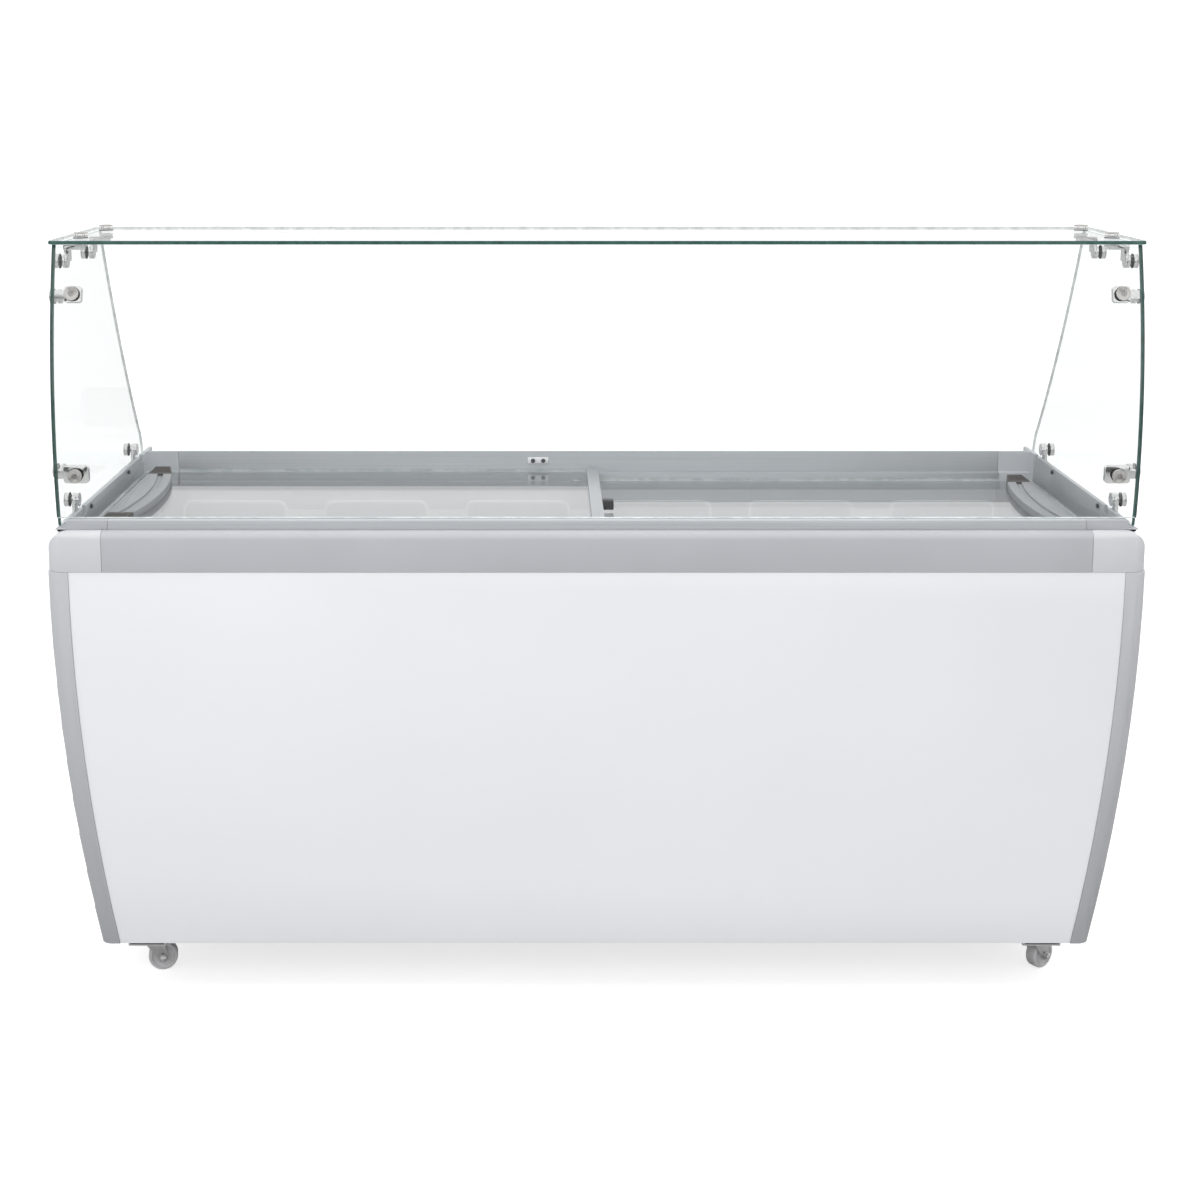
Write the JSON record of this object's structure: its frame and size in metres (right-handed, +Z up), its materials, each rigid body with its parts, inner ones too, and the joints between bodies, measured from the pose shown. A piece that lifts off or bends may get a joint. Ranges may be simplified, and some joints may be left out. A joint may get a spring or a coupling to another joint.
{
  "type": "glass-top serving chest freezer",
  "caption": "Bowed chest freezer on casters with sliding glass lids and a curved glass serving canopy, for displaying and dipping ice cream.",
  "frame": {"origin": "on the floor, under the middle of the cabinet", "axes": "+X along the width, to the right seen from the customer's side; +Y from the customer's side to the server's side; +Z up"},
  "size_m": [1.8, 0.68, 1.277],
  "materials": {
    "white_steel": "satin",
    "band_grey": "satin",
    "corner_grey": "satin",
    "pillar_grey": "satin",
    "collar_metal": "satin",
    "collar_plastic": "matte",
    "liner_white": "satin",
    "insulation": "matte",
    "tube_aluminium": "satin",
    "zinc_steel": "satin",
    "black_steel": "gloss",
    "copper_tube": "satin",
    "black_plastic": "satin",
    "dark_rubber": "matte",
    "white_plastic": "gloss",
    "pane": "gloss",
    "lid_pane": "gloss",
    "clamp_chrome": "polished",
    "handle_grey": "satin",
    "grip_brown": "matte",
    "wheel_grey": "satin",
    "dark_steel": "satin"
  },
  "bodies": {
    "cabinet": {"front_panel": "white_steel", "rear_panel": "white_steel", "right_end_panel": "white_steel", "left_end_panel": "white_steel", "front_pillars": "pillar_grey", "rear_pillars": "pillar_grey", "front_band": "band_grey", "rear_band": "band_grey", "right_band": "band_grey", "left_band": "band_grey", "band_corners": "corner_grey", "front_collar": "collar_metal", "rear_collar": "collar_metal", "right_collar": "collar_metal", "left_collar": "collar_metal", "collar_corners": "collar_plastic", "liner": "liner_white", "foam_insulation": "insulation", "evaporator_coil": "tube_aluminium", "base_frame": "zinc_steel", "caster_plates": "zinc_steel", "compressor": "black_steel", "condenser": "tube_aluminium", "fan_motor": "zinc_steel", "refrigerant_lines": "copper_tube", "rear_grille": "black_plastic", "control_box": "black_plastic", "cord_gland": "dark_rubber", "drain_tube": "white_plastic", "front_glass": "pane", "top_glass": "pane", "right_side_glass": "pane", "left_side_glass": "pane", "top_clamps": "clamp_chrome", "front_clamps": "clamp_chrome", "base_posts": "clamp_chrome", "lid_stop": "white_plastic", "collar_screws": "dark_steel"},
    "left_lid": {"left_lid_glass": "lid_pane", "left_lid_edge": "collar_metal", "left_lid_handle": "handle_grey", "left_lid_grips": "grip_brown", "lock_body": "black_plastic"},
    "right_lid": {"right_lid_glass": "lid_pane", "right_lid_edge": "collar_metal", "right_lid_handle": "handle_grey", "right_lid_grips": "grip_brown"},
    "lid_lock": {"lock_plug": "clamp_chrome"},
    "thermostat": {"thermostat_knob": "black_plastic"},
    "power_rocker": {"power_switch": "black_plastic"},
    "condenser_fan": {"fan_blade": "black_plastic"},
    "liner_drain_plug": {"drain_plug": "dark_rubber"},
    "front_left_swivel": {"front_left_caster_fork": "zinc_steel"},
    "front_left_roller": {"front_left_caster_wheel": "wheel_grey"},
    "front_right_swivel": {"front_right_caster_fork": "zinc_steel"},
    "front_right_roller": {"front_right_caster_wheel": "wheel_grey"},
    "rear_left_swivel": {"rear_left_caster_fork": "zinc_steel"},
    "rear_left_roller": {"rear_left_caster_wheel": "wheel_grey"},
    "rear_right_swivel": {"rear_right_caster_fork": "zinc_steel"},
    "rear_right_roller": {"rear_right_caster_wheel": "wheel_grey"}
  },
  "joints": [
    {"name": "left_lid_slide", "type": "slide", "parent": "cabinet", "child": "left_lid", "axis": [1, 0, 0], "range_m": [0, 0.72]},
    {"name": "right_lid_slide", "type": "slide", "parent": "cabinet", "child": "right_lid", "axis": [1, 0, 0], "range_m": [-0.72, 0]},
    {"name": "lid_lock_turn", "type": "hinge", "parent": "left_lid", "child": "lid_lock", "pos_m": [0.03, -0.033, 0.779], "axis": [1, 0, 0], "range_deg": [0, 90]},
    {"name": "thermostat_turn", "type": "hinge", "parent": "cabinet", "child": "thermostat", "pos_m": [0.6, 0.328, 0.347], "axis": [0, 1, 0], "range_deg": [-135, 135]},
    {"name": "power_rock", "type": "hinge", "parent": "cabinet", "child": "power_rocker", "pos_m": [0.68, 0.322, 0.347], "axis": [1, 0, 0], "range_deg": [-16, 0]},
    {"name": "fan_spin", "type": "hinge", "parent": "cabinet", "child": "condenser_fan", "pos_m": [0.668, 0.227, 0.214], "axis": [0, 1, 0], "continuous": true},
    {"name": "drain_plug_pull", "type": "slide", "parent": "cabinet", "child": "liner_drain_plug", "axis": [0, 0, 1], "range_m": [0, 0.04]},
    {"name": "front_left_caster_swivel", "type": "hinge", "parent": "cabinet", "child": "front_left_swivel", "pos_m": [-0.765, -0.25, 0.06], "axis": [0, 0, 1], "continuous": true},
    {"name": "front_left_wheel_roll", "type": "hinge", "parent": "front_left_swivel", "child": "front_left_roller", "pos_m": [-0.74924, -0.24722, 0.025], "axis": [-0.1736, 0.9848, 0], "continuous": true},
    {"name": "front_right_caster_swivel", "type": "hinge", "parent": "cabinet", "child": "front_right_swivel", "pos_m": [0.765, -0.25, 0.06], "axis": [0, 0, 1], "continuous": true},
    {"name": "front_right_wheel_roll", "type": "hinge", "parent": "front_right_swivel", "child": "front_right_roller", "pos_m": [0.77778, -0.24037, 0.025], "axis": [-0.6018, 0.7986, 0], "continuous": true},
    {"name": "rear_left_caster_swivel", "type": "hinge", "parent": "cabinet", "child": "rear_left_swivel", "pos_m": [-0.765, 0.25, 0.06], "axis": [0, 0, 1], "continuous": true},
    {"name": "rear_left_wheel_roll", "type": "hinge", "parent": "rear_left_swivel", "child": "rear_left_roller", "pos_m": [-0.749, 0.25, 0.025], "axis": [0, 1, 0], "continuous": true},
    {"name": "rear_right_caster_swivel", "type": "hinge", "parent": "cabinet", "child": "rear_right_swivel", "pos_m": [0.765, 0.25, 0.06], "axis": [0, 0, 1], "continuous": true},
    {"name": "rear_right_wheel_roll", "type": "hinge", "parent": "rear_right_swivel", "child": "rear_right_roller", "pos_m": [0.781, 0.25, 0.025], "axis": [0, 1, 0], "continuous": true}
  ]
}
